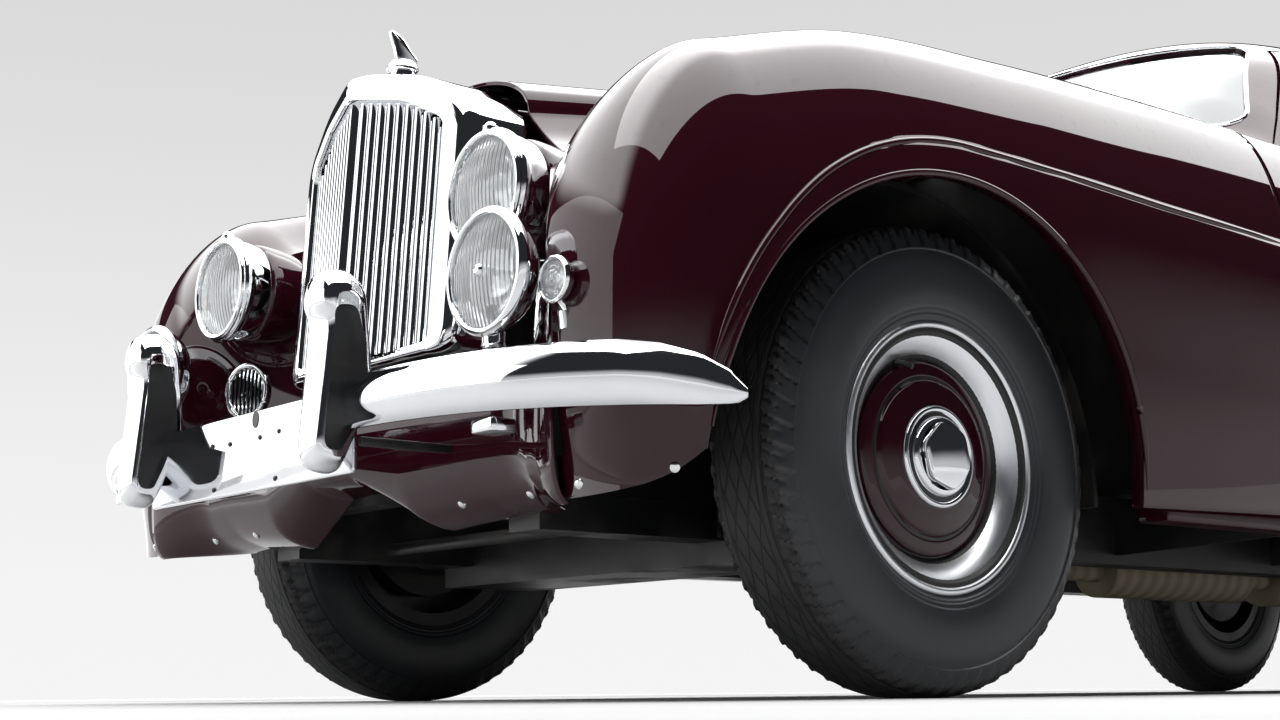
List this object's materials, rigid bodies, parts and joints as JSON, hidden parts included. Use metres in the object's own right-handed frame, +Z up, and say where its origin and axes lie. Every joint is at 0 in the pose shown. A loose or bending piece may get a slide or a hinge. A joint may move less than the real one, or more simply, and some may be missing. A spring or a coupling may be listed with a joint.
{
  "type": "vintage fastback coupe",
  "caption": "Early 1950s two-door fastback grand touring coupe with upright chrome radiator, burgundy paint and spatted rear wheels.",
  "frame": {"origin": "On the ground under the middle of the car's length, in its middle plane.", "axes": "+X forward to the radiator, +Y to the car's left, +Z up."},
  "size_m": [5.244, 1.809, 1.6001],
  "materials": {
    "burgundy_paint": "gloss",
    "chrome_plate": "polished",
    "polished_metal": "polished",
    "tyre_rubber": "matte",
    "chassis_black": "satin",
    "engine_grey": "matte",
    "exhaust_wrap": "matte",
    "window_glass": "gloss",
    "lamp_glass": "gloss",
    "red_lens": "gloss",
    "tan_leather": "satin",
    "walnut": "gloss",
    "black_plastic": "gloss"
  },
  "bodies": {
    "car_body": {"chassis_frame": "chassis_black", "front_suspension": "chassis_black", "rear_axle": "chassis_black", "engine_block": "engine_grey", "exhaust": "exhaust_wrap", "floor_pan": "chassis_black", "front_wing_left": "burgundy_paint", "front_wing_right": "burgundy_paint", "front_apron": "burgundy_paint", "scuttle": "burgundy_paint", "roof_shell": "burgundy_paint", "rear_wing_left": "burgundy_paint", "rear_wing_right": "burgundy_paint", "wheel_spats": "burgundy_paint", "sills": "burgundy_paint", "window_glass": "window_glass", "radiator_shell": "chrome_plate", "radiator_slats": "chrome_plate", "lamp_shells": "chrome_plate", "lamp_lenses": "lamp_glass", "front_bumper": "chrome_plate", "rear_bumper": "chrome_plate", "tail_lamps": "red_lens", "front_seats": "tan_leather", "rear_seat": "tan_leather", "dashboard": "walnut", "tail_panel": "burgundy_paint"},
    "bonnet_left": {"bonnet_left": "burgundy_paint"},
    "bonnet_right": {"bonnet_right": "burgundy_paint"},
    "door_left": {"door_left": "burgundy_paint", "door_glass_left": "window_glass"},
    "door_right": {"door_right": "burgundy_paint", "door_glass_right": "window_glass"},
    "boot_lid": {"boot_lid": "burgundy_paint"},
    "steering_wheel": {"steering_wheel": "black_plastic"},
    "knuckle_left": {"knuckle_left": "chassis_black"},
    "knuckle_right": {"knuckle_right": "chassis_black"},
    "front_left_wheel": {"tyre_front_left": "tyre_rubber", "wheel_front_left": "polished_metal"},
    "front_right_wheel": {"tyre_front_right": "tyre_rubber", "wheel_front_right": "polished_metal"},
    "rear_left_wheel": {"tyre_rear_left": "tyre_rubber", "wheel_rear_left": "polished_metal"},
    "rear_right_wheel": {"tyre_rear_right": "tyre_rubber", "wheel_rear_right": "polished_metal"}
  },
  "joints": [
    {"name": "wheel_front_left_spin", "type": "hinge", "parent": "knuckle_left", "child": "front_left_wheel", "pos_m": [1.7625, 0.7175, 0.372], "axis": [0, 1, 0], "continuous": true},
    {"name": "wheel_front_right_spin", "type": "hinge", "parent": "knuckle_right", "child": "front_right_wheel", "pos_m": [1.7625, -0.7175, 0.372], "axis": [0, 1, 0], "continuous": true},
    {"name": "wheel_rear_left_spin", "type": "hinge", "parent": "car_body", "child": "rear_left_wheel", "pos_m": [-1.2855, 0.743, 0.372], "axis": [0, 1, 0], "continuous": true},
    {"name": "wheel_rear_right_spin", "type": "hinge", "parent": "car_body", "child": "rear_right_wheel", "pos_m": [-1.2855, -0.743, 0.372], "axis": [0, 1, 0], "continuous": true},
    {"name": "steer_left", "type": "hinge", "parent": "car_body", "child": "knuckle_left", "pos_m": [1.7625, 0.62, 0.372], "axis": [0, 0, 1], "range_deg": [-30, 30]},
    {"name": "steer_right", "type": "hinge", "parent": "car_body", "child": "knuckle_right", "pos_m": [1.7625, -0.62, 0.372], "axis": [0, 0, 1], "range_deg": [-30, 30]},
    {"name": "steering_wheel_turn", "type": "hinge", "parent": "car_body", "child": "steering_wheel", "pos_m": [0.2625, -0.37, 0.93], "axis": [-0.9063, 0, 0.4226], "range_deg": [-540, 540]},
    {"name": "door_left_swing", "type": "hinge", "parent": "car_body", "child": "door_left", "pos_m": [0.8625, 0.895, 0.7], "axis": [0, 0, -1], "range_deg": [0, 65]},
    {"name": "door_right_swing", "type": "hinge", "parent": "car_body", "child": "door_right", "pos_m": [0.8625, -0.895, 0.7], "axis": [0, 0, 1], "range_deg": [0, 65]},
    {"name": "bonnet_left_lift", "type": "hinge", "parent": "car_body", "child": "bonnet_left", "pos_m": [2.1805, 0, 1.08097], "axis": [0.9967, 0, -0.0806], "range_deg": [0, 60]},
    {"name": "bonnet_right_lift", "type": "hinge", "parent": "car_body", "child": "bonnet_right", "pos_m": [2.1805, 0, 1.08097], "axis": [-0.9967, 0, 0.0806], "range_deg": [0, 60]},
    {"name": "boot_lid_lift", "type": "hinge", "parent": "car_body", "child": "boot_lid", "pos_m": [-1.6775, 0, 1.21202], "axis": [0, 1, 0], "range_deg": [0, 65]}
  ],
  "couplings": [
    {"joint": "steer_right", "follows": "steer_left", "ratio": 1},
    {"joint": "steering_wheel_turn", "follows": "steer_left", "ratio": 18}
  ]
}
